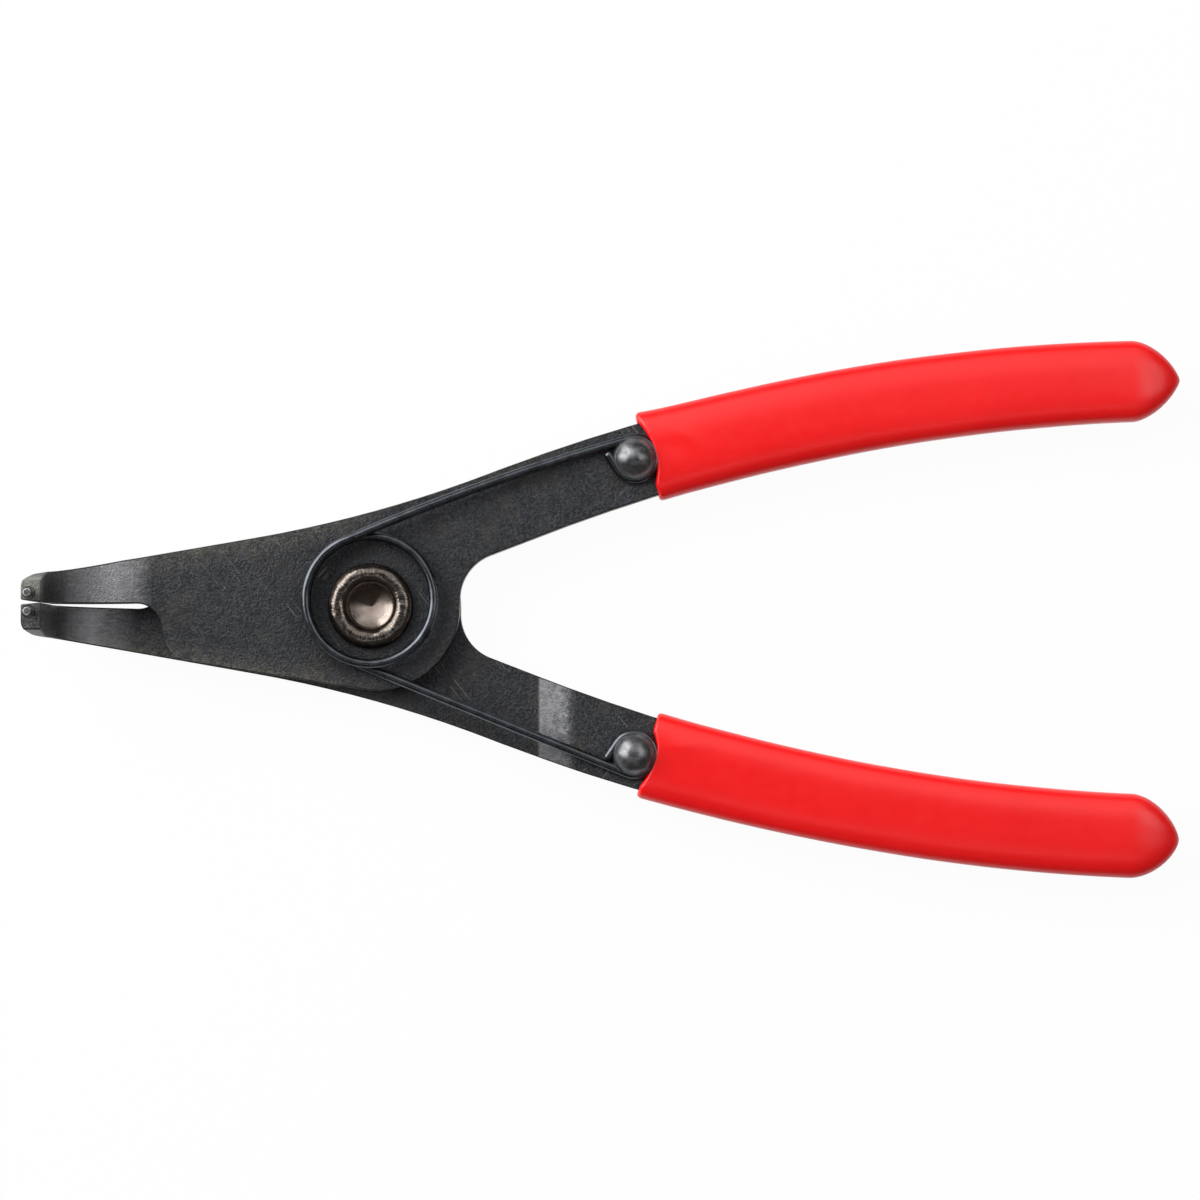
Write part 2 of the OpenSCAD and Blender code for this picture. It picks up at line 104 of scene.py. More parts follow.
class Paint:
    """A material being mixed: each call adds one or a few nodes and returns their output."""

    def __init__(self, name):
        self.material = bpy.data.materials.new(name)
        self.material.use_nodes = True
        self.tree = self.material.node_tree
        self.shader = self.tree.nodes["Principled BSDF"]
        self.place = self.add("ShaderNodeTexCoord").outputs["Object"]

    def add(self, kind, **settings):
        node = self.tree.nodes.new(kind)
        for key, value in settings.items():
            setattr(node, key, value)
        return node

    def feed(self, socket, value):
        if isinstance(value, bpy.types.NodeSocket):
            self.tree.links.new(value, socket)
        else:
            socket.default_value = value

    def set(self, **values):
        """Sets or links the shader's own sockets, with _ for a space in their names."""
        for key, value in values.items():
            self.feed(self.shader.inputs[key.replace("_", " ")], value)

    def noise(self, size, detail=3.0, rough=0.55, place=None, stretch=(1, 1, 1)):
        """Noise with features of about size millimetres, longer along the axes with a small stretch."""
        mapping = self.add("ShaderNodeMapping")
        self.feed(mapping.inputs["Vector"], place or self.place)
        mapping.inputs["Scale"].default_value = stretch
        node = self.add("ShaderNodeTexNoise")
        self.feed(node.inputs["Vector"], mapping.outputs["Vector"])
        node.inputs["Scale"].default_value = 1 / (size * MM)
        node.inputs["Detail"].default_value = detail
        node.inputs["Roughness"].default_value = rough
        return node.outputs["Fac"]

    def spread(self, value, low, high, start=0.0, end=1.0):
        """Maps low..high to start..end, held at the ends."""
        node = self.add("ShaderNodeMapRange", clamp=True)
        self.feed(node.inputs["Value"], value)
        for name, number in zip(("From Min", "From Max", "To Min", "To Max"), (low, high, start, end)):
            node.inputs[name].default_value = number
        return node.outputs["Result"]

    def spread_mm(self, length, low, high, start=0.0, end=1.0):
        """The same for a length, with low and high in millimetres."""
        return self.spread(length, low * MM, high * MM, start, end)

    def math(self, operation, a, b=0.0):
        node = self.add("ShaderNodeMath", operation=operation)
        self.feed(node.inputs[0], a)
        self.feed(node.inputs[1], b)
        return node.outputs["Value"]

    def both(self, first, *others):
        """Product of masks, which shows only where all of them do."""
        product = first
        for mask in others:
            product = self.math("MULTIPLY", product, mask)
        return product

    def mix(self, share, a, b):
        node = self.add("ShaderNodeMix", data_type="RGBA")
        self.feed(node.inputs["Factor"], share)
        for socket, colour in zip((node.inputs[6], node.inputs[7]), (a, b)):
            self.feed(socket, colour if isinstance(colour, bpy.types.NodeSocket) else (*colour, 1))
        return node.outputs[2]

    def axis(self, name, vector=None):
        split = self.add("ShaderNodeSeparateXYZ")
        self.feed(split.inputs["Vector"], vector or self.place)
        return split.outputs[name]

    def facing_up(self):
        """1 where the surface is level and faces up, 0 where it is upright."""
        return self.axis("Z", self.add("ShaderNodeNewGeometry").outputs["Normal"])

    def bump(self, height, depth, below=None):
        """Bump of depth millimetres over another bump."""
        node = self.add("ShaderNodeBump")
        node.inputs["Distance"].default_value = depth * MM
        self.feed(node.inputs["Height"], height)
        if below is not None:
            self.feed(node.inputs["Normal"], below)
        return node.outputs["Normal"]

    def scratches(self, size, angle, amount):
        """Thin straight marks at an angle, where amount is the share of the bands that show one."""
        longer, apart, strength = 0.02, 25, 0.7
        turned = self.add("ShaderNodeMapping")
        self.feed(turned.inputs["Vector"], self.place)
        turned.inputs["Rotation"].default_value = (0, 0, angle)
        place = turned.outputs["Vector"]
        lines = self.noise(size, detail=0.0, place=place, stretch=(longer, 1, 1))
        breaks = self.noise(size * apart, detail=1.0, place=place)
        return self.both(
            self.spread(lines, 0.72, 0.76),
            self.spread(breaks, 1 - amount, 1.04 - amount, 0, strength),
        )


def polar_place(paint):
    """Coordinates about the pivot as (angle in turns, distance), in place of x and y, and the distance."""
    split = paint.add("ShaderNodeSeparateXYZ")
    paint.feed(split.inputs["Vector"], paint.place)
    turn = paint.math("DIVIDE", paint.math("ARCTAN2", split.outputs["Y"], split.outputs["X"]), math.tau)
    flat = paint.add("ShaderNodeCombineXYZ")
    paint.feed(flat.inputs["X"], split.outputs["X"])
    paint.feed(flat.inputs["Y"], split.outputs["Y"])
    reach = paint.add("ShaderNodeVectorMath", operation="LENGTH")
    paint.feed(reach.inputs[0], flat.outputs["Vector"])
    joined = paint.add("ShaderNodeCombineXYZ")
    paint.feed(joined.inputs["X"], turn)
    paint.feed(joined.inputs["Y"], reach.outputs["Value"])
    return joined.outputs["Vector"], reach.outputs["Value"]


def oil_gloss_and_painted_shade(paint):
    """Mask of the ring round the pivot, strongest within 9 mm and gone at 18 mm: it carries a painted
    shade, where the coil and the rivet shade the plate, and a glossier finish.
    """
    full_r, dry_r, strength = 9.0, 18.0, 0.65
    reach = polar_place(paint)[1]
    return paint.spread_mm(reach, full_r, dry_r, strength, 0.0)


def jaw_edge(paint):
    """Mask of the band inside the jaws' outer edges, where the black has been rubbed brown."""
    edge_slope, edge_at_pivot = 0.192, 13.9
    band_w, full_w = 3.4, 0.3
    start_x, full_x = 4.0, -8.0
    x, y = paint.axis("X"), paint.math("ABSOLUTE", paint.axis("Y"))
    edge_y = paint.math("ADD", paint.math("MULTIPLY", x, edge_slope), edge_at_pivot * MM)
    inside = paint.math("SUBTRACT", edge_y, y)
    return paint.both(paint.spread_mm(inside, band_w, full_w), paint.spread_mm(x, start_x, full_x))


def sloped_painted_highlight(paint, speckle):
    """Mask of a painted highlight on the sloped faces, breaking up towards the handles and fainter towards
    the lower edge.
    """
    level, gentle, steep, upright = 0.998, 0.93, 0.86, 0.35
    ragged = 2.5
    full_x, faint_x = 28.0, 31.5
    full_y, faint_y = -18.5, -21.5
    up = paint.facing_up()
    sloped = paint.both(paint.spread(up, level, gentle), paint.spread(up, upright, steep))
    shift = paint.spread(speckle, 0.3, 0.7, ragged * MM, -ragged * MM)
    along = paint.spread_mm(paint.math("ADD", paint.axis("X"), shift), faint_x, full_x, 0.25, 1.0)
    across = paint.spread_mm(paint.axis("Y"), faint_y, full_y, 0.45, 1.0)
    return paint.both(sloped, along, across)


def tip_bend_painted_highlight(paint):
    """Mask of a painted highlight on the jaws' bends, from the end of the flat, stronger on the upper jaw.
    """
    start_x, full_x, upper_shift = -36.5, -43.0, 2.8
    lower_strength = 0.6
    half_gap = 0.1
    fade_start, fade_end = 1.0, 3.0
    upper = paint.spread_mm(paint.axis("Y"), -half_gap, half_gap)
    along = paint.math("SUBTRACT", paint.axis("X"), paint.math("MULTIPLY", upper, upper_shift * MM))
    # The painted highlight grows from the end of the flat towards the tips.
    rubbed = paint.spread_mm(along, start_x, full_x)
    strength = paint.spread(upper, 0, 1, lower_strength, 1.0)
    below_end = paint.spread_mm(paint.axis("Z"), Z_END - fade_start, Z_END - fade_end)
    sloped = paint.spread(paint.facing_up(), 0.50, 0.94)
    return paint.both(rubbed, strength, below_end, sloped)


def ground_end_and_painted_light(paint):
    """Mask of the jaws' ground ends, with painted light and shade across them: lightest at the upper jaw's
    outer side, faint on the lower jaw.
    """
    fade_start, fade_end = 3.0, 0.6
    dark_y, light_y = -1.5, 3.5
    high = paint.spread_mm(paint.axis("Z"), Z_END - fade_start, Z_END - fade_end)
    return paint.both(high, paint.spread_mm(paint.axis("Y"), dark_y, light_y, 0.1, 1.0))


def oxide(paint, grit, stain, scuff):
    """Colour of the black oxide: grit, olive clouds, dull stains and pale scuffs."""
    black, grey = (0.001, 0.001, 0.002), (0.034, 0.038, 0.047)
    olive, dull, pale = (0.040, 0.037, 0.026), (0.005, 0.005, 0.006), (0.11, 0.106, 0.098)
    cloud = paint.noise(5.5, detail=4, rough=0.6)
    colour = paint.mix(paint.spread(grit, 0.40, 0.62), black, grey)
    colour = paint.mix(paint.spread(cloud, 0.50, 0.66, 0, 0.45), colour, olive)
    colour = paint.mix(paint.spread(stain, 0.50, 0.66, 0, 0.75), colour, dull)
    return paint.mix(paint.spread(scuff, 0.60, 0.72, 0, 0.6), colour, pale)


def plate_wear(paint, colour, scuff, bright):
    """The oxide's colour with its rubbed jaws, painted highlights on the bends, ground ends with painted
    light and shade across them, and scratches.
    """
    # The second colour is a painted highlight for the sloped faces, and the third a painted highlight for
    # the jaws' bends.
    brown, highlight_grey, bare = (0.105, 0.096, 0.076), (0.23, 0.23, 0.24), (0.48, 0.48, 0.50)
    ground_dark, ground_light = (0.12, 0.125, 0.11), (0.23, 0.235, 0.21)
    scratched = (0.14, 0.135, 0.125)
    rubbed = paint.both(jaw_edge(paint), paint.spread(scuff, 0.44, 0.62, 0.1, 0.75))
    sloped_highlight = paint.both(sloped_painted_highlight(paint, scuff), paint.spread(scuff, 0.30, 0.60, 0.45, 0.95))
    ground = paint.mix(paint.spread(scuff, 0.35, 0.65), ground_dark, ground_light)
    colour = paint.mix(rubbed, colour, brown)
    # Painted highlight on the sloped faces of the bends and joggles.
    colour = paint.mix(sloped_highlight, colour, highlight_grey)
    # Painted highlight: the jaws' bends are lightened towards light steel.
    colour = paint.mix(bright, colour, bare)
    # The ground ends, with painted light and shade across the jaws.
    colour = paint.mix(ground_end_and_painted_light(paint), colour, ground)
    colour = paint.mix(paint.scratches(0.22, angle=0.9, amount=0.40), colour, scratched)
    return paint.mix(paint.scratches(0.20, angle=2.3, amount=0.33), colour, scratched)


def black_steel():
    """Black oxide on tumbled plate, glossier and darkened by painted shade round the pivot, with painted
    highlights on the bends.
    """
    # The first colour is a painted shade, laid round the pivot where the coil and the rivet shade the
    # plate.
    pivot_painted_shade, oil_gloss = (0.004, 0.005, 0.008), 0.16
    paint = Paint("black_steel")
    grit = paint.noise(0.36, detail=3, rough=0.65)
    stain = paint.noise(2.6, detail=5, rough=0.65)
    scuff = paint.noise(0.9, detail=5, rough=0.75)
    streak = paint.noise(0.5, detail=4, rough=0.7, stretch=(0.35, 1, 0.35))
    pivot_gloss_and_shade = oil_gloss_and_painted_shade(paint)
    # A painted highlight on the jaws' bends, broken up by streaks, which also makes them more metallic.
    bright = paint.both(tip_bend_painted_highlight(paint), paint.spread(streak, 0.30, 0.62, 0.35, 1.0))
    # Painted shade darkens the oxide round the pivot.
    colour = paint.mix(pivot_gloss_and_shade, oxide(paint, grit, stain, scuff), pivot_painted_shade)
    dry = paint.spread(stain, 0.3, 0.7, 0.34, 0.46)
    paint.set(
        Base_Color=plate_wear(paint, colour, scuff, bright),
        Metallic=paint.spread(bright, 0, 1, 0.2, 0.8),
        Specular_IOR_Level=0.45,
        Roughness=paint.math("SUBTRACT", dry, paint.math("MULTIPLY", pivot_gloss_and_shade, oil_gloss)),
        Normal=paint.bump(scuff, 0.06, paint.bump(grit, 0.18)),
    )
    return paint.material


def worn_edge():
    """Stamped edge, where the black has rubbed through to steel in places."""
    black, rubbed, ground = (0.012, 0.012, 0.013), (0.10, 0.092, 0.080), (0.17, 0.175, 0.155)
    paint = Paint("worn_edge")
    rub = paint.noise(1.4, detail=5, rough=0.7)
    grain = paint.noise(0.3, detail=3)
    colour = paint.mix(paint.spread(rub, 0.50, 0.74), black, rubbed)
    paint.set(
        # The ends are ground steel, with painted light and shade across the jaws.
        Base_Color=paint.mix(ground_end_and_painted_light(paint), colour, ground),
        Metallic=0.5,
        Roughness=paint.spread(grain, 0.3, 0.7, 0.36, 0.52),
        Normal=paint.bump(grain, 0.012),
    )
    return paint.material


def drilled_hollow(paint, reach, height):
    """Mask of the rivet's hollow, full at its drilled bottom and ending above the back head."""
    inside = paint.spread_mm(reach, HOLLOW_R - 0.04, HOLLOW_R - 0.1)
    deep = paint.spread_mm(height, HOLLOW_FLOOR + 0.2, HOLLOW_POINT + 0.68)
    front = paint.spread_mm(height, HOLLOW_POINT - 1.0, HOLLOW_POINT - 0.3)
    return paint.both(inside, deep, front)


def hollow_colour_with_painted_shadow(paint, reach, rings):
    """Bright turned steel with a painted shadow of the lip as a dark sector on its upper side."""
    # The dark colour is the painted shadow that the lip casts into the hollow.
    steel, light, dark = (0.80, 0.65, 0.57), (0.92, 0.80, 0.72), (0.07, 0.056, 0.045)
    slant = 0.3
    bright = paint.mix(paint.spread(rings, 0.3, 0.7), steel, light)
    # The painted shadow is a sector on the upper side, leaning to the left.
    upward = paint.math("SUBTRACT", paint.axis("Y"), paint.math("MULTIPLY", paint.axis("X"), slant))
    painted_shadow_share = paint.spread(paint.math("DIVIDE", upward, reach), 0.10, 0.66)
    return paint.mix(painted_shadow_share, bright, dark)


def rivet_steel():
    """Browned rivet: rubbed crest with fine radial marks, and a bright drilled hollow with a painted shadow
    on its upper side.
    """
    dark, light, rubbed_steel = (0.060, 0.046, 0.036), (0.15, 0.12, 0.10), (0.44, 0.44, 0.43)
    crest_low, crest_high = PIVOT_HIGH.z - 0.4, PIVOT_HIGH.z + 0.05
    paint = Paint("rivet_steel")
    polar, reach = polar_place(paint)
    height = paint.axis("Z")
    ticks = paint.noise(METRE, detail=3, place=polar, stretch=(270, 900, 1))
    rings = paint.noise(METRE, detail=1, place=polar, stretch=(3, 9000, 1))
    mottle = paint.noise(0.8, detail=5, rough=0.65)
    brown = paint.mix(paint.spread(mottle, 0.35, 0.7), dark, light)
    rubbed = paint.both(paint.spread_mm(height, crest_low, crest_high), paint.spread(ticks, 0.48, 0.72))
    outside = paint.mix(rubbed, brown, rubbed_steel)
    drilled = drilled_hollow(paint, reach, height)
    paint.set(
        Base_Color=paint.mix(drilled, outside, hollow_colour_with_painted_shadow(paint, reach, rings)),
        Metallic=paint.spread(drilled, 0, 1, 0.95, 0.40),
        Roughness=paint.spread(mottle, 0.3, 0.7, 0.18, 0.28),
        Normal=paint.bump(rings, 0.004, paint.bump(ticks, 0.007, paint.bump(mottle, 0.008))),
    )
    return paint.material


def spring_wire():
    """Black drawn wire with a slight haze and small rubs."""
    dark, light, rubbed = (0.060, 0.066, 0.075), (0.105, 0.113, 0.126), (0.13, 0.13, 0.13)
    paint = Paint("spring_wire")
    haze = paint.noise(1.8, detail=4)
    rub = paint.noise(0.7, detail=5, rough=0.7)
    colour = paint.mix(paint.spread(haze, 0.35, 0.7), dark, light)
    paint.set(
        Base_Color=paint.mix(paint.spread(rub, 0.69, 0.78, 0, 0.5), colour, rubbed),
        Metallic=1.0,
        Roughness=paint.spread(haze, 0.3, 0.7, 0.24, 0.32),
        Normal=paint.bump(haze, 0.01),
    )
    return paint.material


def dome_steel():
    """Oiled dark steel of the domed rivets, with rubbed spots."""
    dark, light, rubbed = (0.085, 0.088, 0.094), (0.21, 0.21, 0.215), (0.30, 0.26, 0.21)
    paint = Paint("dome_steel")
    cloud = paint.noise(1.5, detail=4)
    speck = paint.noise(0.4, detail=5, rough=0.7)
    colour = paint.mix(paint.spread(cloud, 0.35, 0.68), dark, light)
    paint.set(
        Base_Color=paint.mix(paint.spread(speck, 0.62, 0.74, 0, 0.5), colour, rubbed),
        Metallic=0.85,
        Roughness=paint.spread(cloud, 0.3, 0.7, 0.26, 0.38),
        Normal=paint.bump(speck, 0.015),
    )
    return paint.material


def pin_steel(name, shade):
    """Hardened steel with fine marks, its tone set by the shade: dark for the blackened pins, light for a
    painted highlight on their rims.
    """
    dark, light = (0.55 * shade,) * 3, (1.3 * shade,) * 3
    paint = Paint(name)
    grain = paint.noise(0.25, detail=4)
    paint.set(
        Base_Color=paint.mix(paint.spread(grain, 0.35, 0.65), dark, light),
        Metallic=0.9,
        Roughness=paint.spread(grain, 0.3, 0.7, 0.28, 0.42),
        Normal=paint.bump(grain, 0.008),
    )
    return paint.material


def red_vinyl():
    """Dipped vinyl: deep red with slow colour drift, soft skin ripple and small pale nicks."""
    deep, fresh, pale = (0.88, 0.005, 0.006), (0.93, 0.008, 0.009), (0.88, 0.12, 0.11)
    paint = Paint("red_vinyl")
    drift = paint.noise(14, detail=2)
    skin = paint.noise(1.6, detail=3)
    nick = paint.noise(0.9, detail=4, rough=0.6, stretch=(1, 0.5, 1))
    colour = paint.mix(paint.spread(drift, 0.3, 0.7), deep, fresh)
    paint.set(
        Base_Color=paint.mix(paint.spread(nick, 0.76, 0.82, 0, 0.25), colour, pale),
        Specular_IOR_Level=0.5,
        Roughness=paint.spread(skin, 0.3, 0.7, 0.28, 0.36),
        Normal=paint.bump(skin, 0.004),
    )
    return paint.material


# Shapes

# Radius of the first and last rings of a turned shape, which a point closes
AXIS_R = 0.02


def add_mesh(name, points, faces, material):
    """A smooth mesh object from points in millimetres."""
    mesh = bpy.data.meshes.new(name)
    mesh.from_pydata([tuple(p) for p in np.asarray(points) * MM], [], faces)
    mesh.materials.append(material)
    mesh.shade_smooth()
    mesh.validate()
    obj = bpy.data.objects.new(name, mesh)
    bpy.context.scene.collection.objects.link(obj)
    return obj


def loft(rings):
    """Points and faces of a closed skin over rings of equal counts, with a point inside each end ring."""
    rings = np.asarray(rings)
    count, sides, _ = rings.shape
    points = np.concatenate([rings.reshape(-1, 3), rings[:1].mean(axis=1), rings[-1:].mean(axis=1)])
    first, last = count * sides, count * sides + 1
    last_ring = (count - 1) * sides
    faces = []
    for j in range(sides):
        k = (j + 1) % sides
        faces.append((first, k, j))
        for ring in range(0, last_ring, sides):
            faces.append((ring + j, ring + k, ring + sides + k, ring + sides + j))
        faces.append((last, last_ring + j, last_ring + k))
    return points, faces


def lathe(profile, sides, centre=(0.0, 0.0)):
    """Rings of a turned shape from (radius, height) points, first to last."""
    turn = np.linspace(0, math.tau, sides, endpoint=False)
    return [
        np.stack([centre[0] + r * np.cos(turn), centre[1] + r * np.sin(turn), np.full(sides, z)], axis=1)
        for r, z in profile
    ]


def arc(centre, radius, start, end, steps):
    """Points on an arc in the (radius, height) plane, angles in degrees."""
    angles = np.radians(np.linspace(start, end, steps + 1))
    return [(centre[0] + radius * math.cos(a), centre[1] + radius * math.sin(a)) for a in angles]


def dressed(obj, node, body):
    """Makes a piece stand for a node and move with its body."""
    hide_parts(node)
    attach(obj, body)
    return obj


# The stamped halves and the pins

EDGE_ROUND = 0.2
SAME_POINT = 0.001
FLAT_ANGLE, SHARP_ANGLE = math.radians(0.3), math.radians(35)
UPRIGHT, LEVEL = 0.2, 0.95


def round_edges(obj, face, edge):
    """Joins a solid's faces, rounds its sharp edges and gives the rounds the edge material."""
    obj.data.materials.clear()
    obj.data.materials.append(face)
    obj.data.materials.append(edge)
    weld = obj.modifiers.new("weld", "WELD")
    weld.merge_threshold = SAME_POINT * MM
    flat = obj.modifiers.new("flat_faces", "DECIMATE")
    flat.decimate_type = "DISSOLVE"
    flat.angle_limit = FLAT_ANGLE
    bevel = obj.modifiers.new("edges", "BEVEL")
    bevel.width = EDGE_ROUND * MM
    bevel.segments = 3
    bevel.limit_method = "ANGLE"
    bevel.angle_limit = SHARP_ANGLE
    bevel.use_clamp_overlap = False
    bevel.material = 1
    normals = obj.modifiers.new("normals", "WEIGHTED_NORMAL")
    normals.keep_sharp = False
    for polygon in obj.data.polygons:
        polygon.use_smooth = True


def tip_pin(obj, dark, bright):
    """Blackened pin whose chamfer at its free end gets the light steel, as a painted rim highlight."""
    obj.data.materials.clear()
    obj.data.materials.append(dark)
    obj.data.materials.append(bright)
    for polygon in obj.data.polygons:
        polygon.material_index = int(UPRIGHT < polygon.normal.z < LEVEL)


# The pivot rivet

RIVET_SIDES = 256
RING_R = (LIP_R - HOLLOW_R) / 2
RING_MID = (HOLLOW_R + RING_R, PIVOT_HIGH.z - RING_R)
LIP_FOOT = 0.72
UNEVEN_FROM = Z_TOP + 0.4
WAVE, WAVES_PER_MM = 0.07, 0.9
GRAIN, GRAINS_PER_MM = 0.02, 4.0


def back_head_profile():
    """Section of the factory head, from its flat land round the low dome to the shank."""
    head_r = PIVOT_HIGH.x
    dome_rise = HEAD_H - HEAD_RIM
    ball_z = (head_r ** 2 - LAND_R ** 2 + dome_rise ** 2) / (2 * dome_rise)
    ball_r = math.hypot(LAND_R, ball_z)
    land = math.degrees(math.atan2(-ball_z, LAND_R))
    rim = math.degrees(math.atan2(dome_rise - ball_z, head_r))
    rounding = 0.12
    return (
        [(AXIS_R, 0.0), (LAND_R - rounding, 0.0)]
        + arc((0, ball_z), ball_r, land, rim, 14)
        + [(head_r, HEAD_H - rounding), (head_r - rounding, HEAD_H), (SHANK_R, HEAD_H)]
    )


def lip_profile():
    """Section of the shank and the rolled lip, from the back head to the hollow."""
    underside, inner_wall = -12, 176
    foot = (RING_MID[0] + RING_R * LIP_FOOT, Z_TOP + END_PLAY)
    return [(SHANK_R, Z_TOP), foot] + arc(RING_MID, RING_R, underside, inner_wall, 40)


def hollow_profile():
    """Section of the drilled hollow, from its wall to the drill's point."""
    below_lip, corner, corner_cut = 0.3, 0.1, 0.03
    slope = math.tan(DRILL_ANGLE / 2)
    wall = [(HOLLOW_R, z) for z in np.linspace(RING_MID[1] - below_lip, HOLLOW_FLOOR + corner, 8)]
    cone = [(r, HOLLOW_POINT + r / slope) for r in np.linspace(HOLLOW_R - corner, AXIS_R, 24)]
    return wall + [(HOLLOW_R - corner_cut, HOLLOW_FLOOR)] + cone


def pivot_rivet(material):
    """The semi-tubular rivet, with a rolled lip that is a little uneven."""
    profile = back_head_profile() + lip_profile() + hollow_profile()
    rings = np.array(lathe(profile, RIVET_SIDES))
    for point in rings.reshape(-1, 3):
        if point[2] > UNEVEN_FROM:
            place = Vector(tuple(point))
            wave = WAVE * noise.noise(place * WAVES_PER_MM)
            point[2] += wave + GRAIN * noise.noise(place * GRAINS_PER_MM)
    obj = add_mesh("pivot_rivet_turned", *loft(rings), material)
    return dressed(obj, "pivot_rivet", "lower_half")


# The domed rivets

DOME_SIDES = 128
HAMMERED_FROM = Z_TOP + 1.9
FLATS, FLATS_PER_MM = 0.06, 0.8


def dome_profile():
    """Section of a domed rivet, from its peened tail to the top of the dome."""
    rounding, cap_inset = 0.1, 0.12
    edge_gap, top = 2.0, 89.6
    under_z = Z_TOP + 2 * (WIRE_R + WIRE_FIT)
    rim_z = under_z + DOME_RIM
    rise = DOME_HIGH.z - rim_z
    ball = ((DOME_R - cap_inset) ** 2 + rise ** 2) / (2 * rise)
    edge = math.degrees(math.asin((rise - ball) / ball))
    shoulder_r = EYE_R - WIRE_R - WIRE_FIT
    tail_angles = np.linspace(0.02, math.pi / 2, 10)
    return (
        [(TAIL_R * math.sin(a), Z_UP - TAIL_H * math.cos(a)) for a in tail_angles]
        + [(shoulder_r, Z_UP), (shoulder_r, under_z), (DOME_R - rounding, under_z)]
        + [(DOME_R, under_z + rounding), (DOME_R, rim_z - rounding), (DOME_R - rounding, rim_z)]
        + arc((0, DOME_HIGH.z - ball), ball, edge + edge_gap, top, 24)
    )


def dome_rivet(side, material):
    """A domed rivet on the upper or lower half, left slightly flat in places by the hammer."""
    name = "upper" if side > 0 else "lower"
    rings = np.array(lathe(dome_profile(), DOME_SIDES, (SEAT.x, side * SEAT.y)))
    for point in rings.reshape(-1, 3):
        if point[2] > HAMMERED_FROM:
            point[2] += FLATS * noise.noise(Vector((point[0], point[1], side * 3.0)) * FLATS_PER_MM)
    obj = add_mesh(f"{name}_dome", *loft(rings), material)
    return dressed(obj, f"{name}_spring_rivet", f"{name}_half")


# The return spring

# The cut ends are longer than the solid's
TAIL_LEN = 2.9
CUT_ROUND = 0.12
WIRE_SIDES = 24
LEG_SHARES = np.linspace(0.03, 0.97, 32)
EYE_SHARES = np.linspace(1, 0, 48)
TAIL_SHARES = np.linspace(1, 0.1, 8)
COIL_SHARES = np.linspace(0, 1, 160)


def unit(angle):
    return np.array([math.cos(angle), math.sin(angle)])


def spring_end(centre, bow):
    """Plan points of the cut end and the eye, those of the leg, and the angle where it meets the coil."""
    seat = np.array(SEAT)
    way = seat - centre
    angle = math.atan2(way[1], way[0]) + math.acos((COIL_R - EYE_R) / np.linalg.norm(way))
    eye = [seat + EYE_R * unit(angle - EYE_TURN * f) for f in EYE_SHARES]
    tail_way = unit(angle - EYE_TURN - math.pi / 2)
    tail = [eye[0] + TAIL_LEN * f * tail_way for f in TAIL_SHARES]
    leave, join = eye[-1], centre + COIL_R * unit(angle)
    bowed = unit(angle) * bow
    leg = [leave + (join - leave) * f + bowed * 4 * f * (1 - f) for f in LEG_SHARES]
    return tail + eye, leg, angle


def spring_path():
    """Middle line of the wire from the upper cut end to the lower one."""
    centre = np.array([0.0, COIL_SHIFT])
    upper_eye, upper_leg, first = spring_end(centre, LEG_BOW)
    lower_eye, lower_leg, last = spring_end(-centre, 0.0)
    sweep = 2 * math.tau - first - last
    rise = COIL_PITCH * sweep / math.tau
    flip = np.array([1, -1])
    path = [(*p, Z_WIRE) for p in upper_eye]
    path += [(*p, Z_WIRE + rise * f) for p, f in zip(upper_leg, LEG_SHARES)]
    for f in COIL_SHARES:
        path.append((*(centre + COIL_R * unit(first + sweep * f)), Z_WIRE + rise * (1 - f)))
    path += [(*(p * flip), Z_WIRE) for p in reversed(lower_leg)]
    path += [(*(p * flip), Z_WIRE) for p in reversed(lower_eye)]
    return np.array(path)


def wire_rings(path):
    """Rings round a path, with a small round at the rim of each sheared end."""
    way = np.gradient(path, axis=0)
    way /= np.linalg.norm(way, axis=1, keepdims=True)
    side = np.cross([0, 0, 1], way)
    side /= np.linalg.norm(side, axis=1, keepdims=True)
    up = np.cross(way, side)
    turn = np.linspace(0, math.tau, WIRE_SIDES, endpoint=False)[:, None]
    rings = [p + WIRE_R * (s * np.cos(turn) + u * np.sin(turn)) for p, s, u in zip(path, side, up)]
    ends = []
    for at, outward in ((0, -1), (-1, 1)):
        middle = path[at] + outward * CUT_ROUND * way[at]
        ends.append(middle + (rings[at] - path[at]) * (1 - CUT_ROUND / WIRE_R))
    return [ends[0], *rings, ends[1]]


def spring(material):
    """The torsion spring between the two halves, built in one shape."""
    obj = add_mesh("return_spring_wire", *loft(wire_rings(spring_path())), material)
    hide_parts("return_spring")
    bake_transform(obj)
    return obj


# The vinyl grips, in lengths s along an arm's bowed middle line and u outward from it

ARM_TURN = ARM_LEN / ARM_R
ARM_CHORD = 2 * ARM_R * math.sin(ARM_TURN / 2)
NECK_ANGLE = math.asin((HANDLE_SPREAD / 2 - NECK_Y) / ARM_CHORD) + ARM_TURN / 2
CAP_START = ARM_LEN + GRIP_TAIL - CAP_LEN
CAP_TURN, CAP_TAPER = 1.5705, 1.75
END_THICKNESS = 0.6
FRONT_MID = 23.05
LIP_LEN, LIP_WALL, LIP_CORNERS = 0.45, 0.55, 6
FLARE_LEN = 4.3
PINCH, PINCH_LEN = 0.2, 11.0
POOL_START = 50.0
MOUTH = 0.25
SKIN_WAVES = (0.09, 0.16, 0.2)
WAVE_HIGH, WAVE_WIDE = 0.018, 0.006
LIP_RINGS, BODY_RINGS, CAP_RINGS, POCKET_RINGS = 10, 90, 40, 24
GRIP_SIDES = 96
SQUARENESS = 2.9


def squared(value):
    return np.sign(value) * np.abs(value) ** (2 / SQUARENESS)


